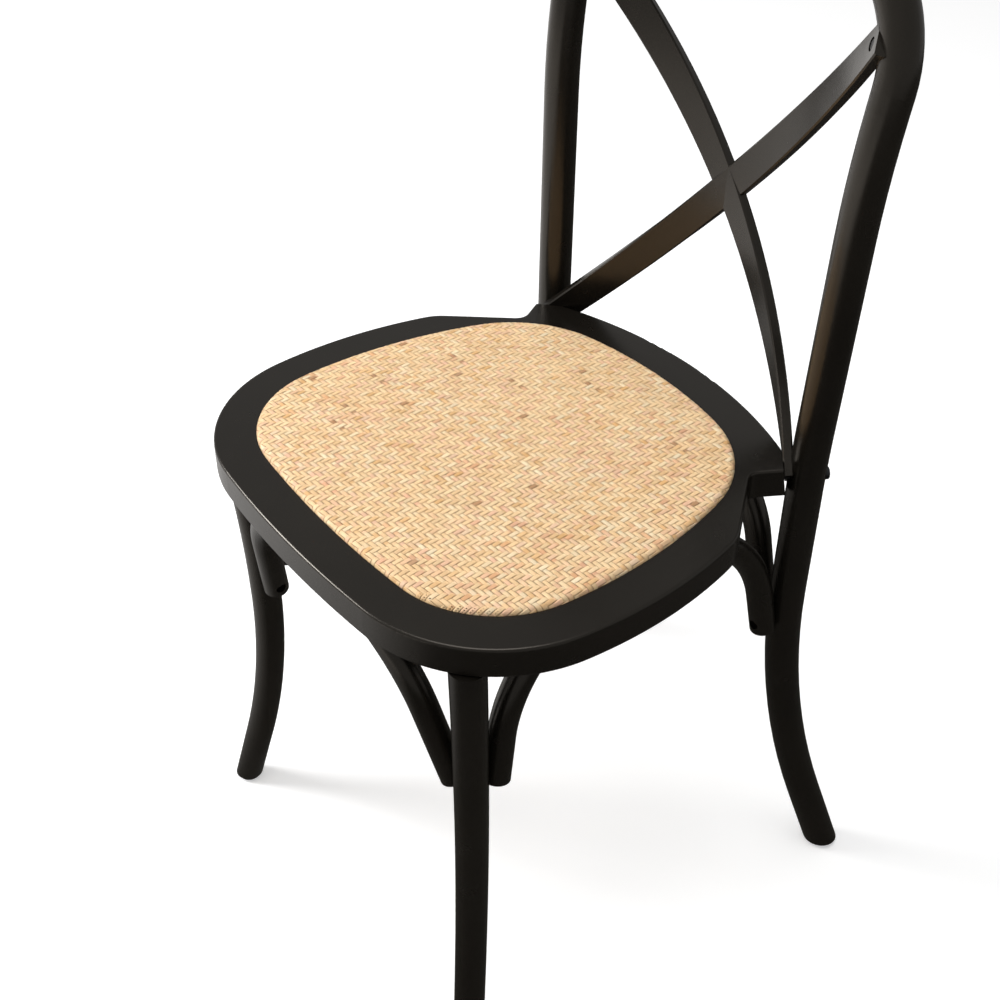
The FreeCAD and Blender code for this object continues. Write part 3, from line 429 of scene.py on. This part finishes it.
def pad_core():
    """The closed stuffing under the mat, as rings from its foot up to the crown: places and faces."""
    steps = [SIDE_END, ROLL_END]
    steps += [PAD_ROLL * (1 - QUARTER_TURN * share) for share in CORE_ROLL_SHARES]
    steps += CORE_CROWN_STEPS
    points, inward = rim_points[::CORE_THINNING], rim_inward[::CORE_THINNING]
    depths = np.full(len(points), -CORE_DEPTH)
    rings = [laid_on_pad(points + inward * step, depths) for step in steps]
    foot = rings[0].copy()
    foot[:, 2] = PAD_BASE * MM
    rings.insert(0, foot)
    top = np.array([[0, PAD_MIDDLE_Y * MM, (PAD_RIM + CROWN_RISE - CORE_DEPTH) * MM]])
    bottom = np.array([[0, PAD_MIDDLE_Y * MM, PAD_BASE * MM]])
    count = len(points)
    last = (len(rings) - 1) * count
    peak = len(rings) * count
    faces = []
    for low in range(0, last, count):
        high = low + count
        for number in range(count):
            after = (number + 1) % count
            faces.append((low + number, low + after, high + after, high + number))
    for number in range(count):
        after = (number + 1) % count
        faces.append((last + number, last + after, peak))
        faces.append((after, number, peak + 1))
    return np.vstack(rings + [top, bottom]), faces


def padded_piece(name, places, faces, material):
    """A padded piece from mesh code, smooth all over."""
    mesh = bpy.data.meshes.new(name)
    mesh.from_pydata(places.tolist(), [], faces)
    mesh.polygons.foreach_set("use_smooth", [True] * len(mesh.polygons))
    mesh.materials.append(material)
    mesh.update()
    piece = bpy.data.objects.new(name, mesh)
    bpy.context.scene.collection.objects.link(piece)
    return piece


mat_places, mat_faces, mat_tones, mat_uvs = woven_mesh()
mat_piece = padded_piece("woven_rattan_mat", mat_places, mat_faces, rattan_skin())
tone_layer = mat_piece.data.color_attributes.new("strand_tone", "FLOAT_COLOR", "POINT")
tone_layer.data.foreach_set("color", np.column_stack([mat_tones, np.ones(len(mat_tones))]).ravel())
strand_map = mat_piece.data.uv_layers.new(name="strand")
loop_vertices = np.empty(len(mat_piece.data.loops), dtype=int)
mat_piece.data.loops.foreach_get("vertex_index", loop_vertices)
strand_map.data.foreach_set("uv", mat_uvs[loop_vertices].ravel())
core_places, core_faces = pad_core()
# the core's skin is painted shade, seen dark in the weave's slits
core_piece = padded_piece("pad_core", core_places, core_faces, painted_shade_core_skin())
for piece in (mat_piece, core_piece):
    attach(piece, "root")
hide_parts("rattan_pad")


# Camera, floor and light, in metres


CAMERA_PLACE = (0.77989, -0.60755, 1.16441)
CAMERA_YAW, CAMERA_PITCH, CAMERA_ROLL = map(math.radians, (53.2305, 38.0501, 0.2395))
LENS, SENSOR_WIDTH = 52.5, 36.0
LIT_SPOT = (0, 0, 0.45)
FLOOR_REACH = 6
# Reach and height of the sheet of painted reflection, and the heading along which its glow brightens
REFLECTION_SHEET_REACH, REFLECTION_SHEET_LEVEL = 4, 0.003
REFLECTION_HEADING = (-0.79, -0.61, 0)
ROOM_LIGHT = 0.37
WALL_TONE = 0.93


def look(place, yaw, pitch, roll):
    """A camera's place and turn, from its heading, its dip below level and its roll."""
    heading = Matrix.Rotation(yaw, 4, "Z")
    dip = Matrix.Rotation(math.pi / 2 - pitch, 4, "X")
    return Matrix.Translation(place) @ (heading @ dip @ Matrix.Rotation(roll, 4, "Z"))


def level_sheet(name, reach, level, material):
    """A square sheet parallel to the ground."""
    mesh = bpy.data.meshes.new(name)
    corners = [(-reach, -reach, level), (reach, -reach, level), (reach, reach, level), (-reach, reach, level)]
    mesh.from_pydata(corners, [], [(0, 1, 2, 3)])
    mesh.materials.append(material)
    sheet = bpy.data.objects.new(name, mesh)
    bpy.context.scene.collection.objects.link(sheet)
    return sheet


def pale_floor():
    """Matt white that glows a little, so that it stays pale away from the lights."""
    material, _, shader = new_material("pale_floor")
    shader.inputs["Base Color"].default_value = (0.9, 0.9, 0.9, 1)
    shader.inputs["Roughness"].default_value = 0.9
    shader.inputs["Specular IOR Level"].default_value = 0.1
    shader.inputs["Emission Color"].default_value = (1, 1, 1, 1)
    shader.inputs["Emission Strength"].default_value = 0.42
    return material


def painted_reflection_cloth():
    """A glowing sheet seen only in reflections, a painted reflection of the ground on the black paint: dark
    near the camera, pale beyond the chair.
    """
    material, tree, shader = new_material("painted_reflection_cloth")
    place = add_node(tree, "ShaderNodeTexCoord")
    heading = add_node(tree, "ShaderNodeVectorMath", operation="DOT_PRODUCT")
    heading.inputs[1].default_value = REFLECTION_HEADING
    tree.links.new(place.outputs["Object"], heading.inputs[0])
    # painted reflection: the glow runs from dark near the camera to pale beyond the chair, though the sheet
    # is no lamp
    painted_reflection_tone = ramp(tree, heading.outputs["Value"], [
        (0.22, (0.060, 0.056, 0.050)),
        (0.9, (1.0, 0.98, 0.96)),
    ])
    tree.links.new(painted_reflection_tone, shader.inputs["Emission Color"])
    shader.inputs["Emission Strength"].default_value = 1.1
    shader.inputs["Base Color"].default_value = (0, 0, 0, 1)
    shader.inputs["Specular IOR Level"].default_value = 0.0
    return material


def studio_world():
    """Even white light from all round, with a paler wall for the camera alone."""
    world = bpy.data.worlds.new("studio")
    world.use_nodes = True
    tree = world.node_tree
    room = tree.nodes["Background"]
    room.inputs["Color"].default_value = (1.0, 1.0, 1.0, 1)
    room.inputs["Strength"].default_value = ROOM_LIGHT
    wall = add_node(tree, "ShaderNodeBackground", Strength=1.0)
    wall.inputs["Color"].default_value = (WALL_TONE, WALL_TONE, WALL_TONE, 1)
    ray_kind = add_node(tree, "ShaderNodeLightPath")
    seen = add_node(tree, "ShaderNodeMixShader")
    tree.links.new(ray_kind.outputs["Is Camera Ray"], seen.inputs["Fac"])
    tree.links.new(room.outputs["Background"], seen.inputs[1])
    tree.links.new(wall.outputs["Background"], seen.inputs[2])
    tree.links.new(seen.outputs["Shader"], tree.nodes["World Output"].inputs["Surface"])
    return world


def soft_box(name, place, size, power):
    """A square soft light aimed at the chair."""
    data = bpy.data.lights.new(name, "AREA")
    data.energy = power
    data.size = size
    lamp = bpy.data.objects.new(name, data)
    bpy.context.scene.collection.objects.link(lamp)
    lamp.location = place
    lamp.rotation_euler = (Vector(LIT_SPOT) - Vector(place)).to_track_quat("-Z", "Y").to_euler()


camera_data = bpy.data.cameras.new("camera")
camera_data.sensor_width = SENSOR_WIDTH
camera_data.lens = LENS
camera = bpy.data.objects.new("camera", camera_data)
bpy.context.scene.collection.objects.link(camera)
camera.matrix_world = look(Vector(CAMERA_PLACE), CAMERA_YAW, CAMERA_PITCH, CAMERA_ROLL)
bpy.context.scene.camera = camera

floor = level_sheet("floor", FLOOR_REACH, 0, pale_floor())
floor.visible_glossy = False

bpy.context.scene.world = studio_world()
soft_box("key", (-1.9, -1.7, 1.9), 1.0, 52)
soft_box("edge_strip", (-2.2, -2.1, 1.55), 0.6, 20)
soft_box("overhead", (-0.1, -0.3, 3.4), 1.8, 36)

# A glowing sheet seen only in the paint's reflections: painted reflection, not a lamp
reflection_sheet = level_sheet("painted_reflection_sheet", REFLECTION_SHEET_REACH, REFLECTION_SHEET_LEVEL, painted_reflection_cloth())
reflection_sheet.visible_camera = False
reflection_sheet.visible_diffuse = False
reflection_sheet.visible_shadow = False

bpy.context.scene.view_settings.view_transform = "Standard"
